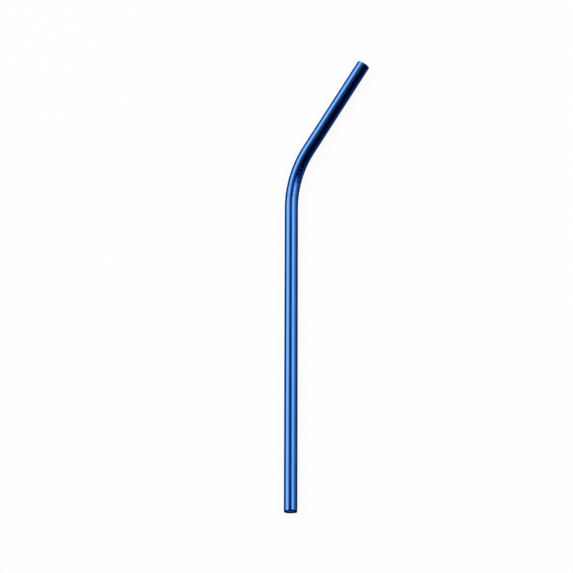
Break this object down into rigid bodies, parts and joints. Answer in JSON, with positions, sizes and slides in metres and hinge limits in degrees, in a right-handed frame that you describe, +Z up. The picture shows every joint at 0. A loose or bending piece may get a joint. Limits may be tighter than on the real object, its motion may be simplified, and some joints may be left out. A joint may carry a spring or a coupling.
{
  "type": "bent stainless steel straw",
  "caption": "Reusable drinking straw: one thin-walled steel tube with a gentle bend, a short mouth leg and smooth rounded open ends.",
  "frame": {"origin": "centre of the bounding box, on the table that the straw lies on", "axes": "+Y up the long leg towards the bend, the short mouth leg leans over towards +X, +Z up from the table; the tube's centre line lies in the plane z = 3 mm"},
  "size_m": [0.0384, 0.2078, 0.006],
  "materials": {
    "blue_steel": "mirror-polished stainless steel with a blue vapour-deposited colour coat"
  },
  "bodies": {
    "root": {"straw": "blue_steel"}
  },
  "joints": []
}
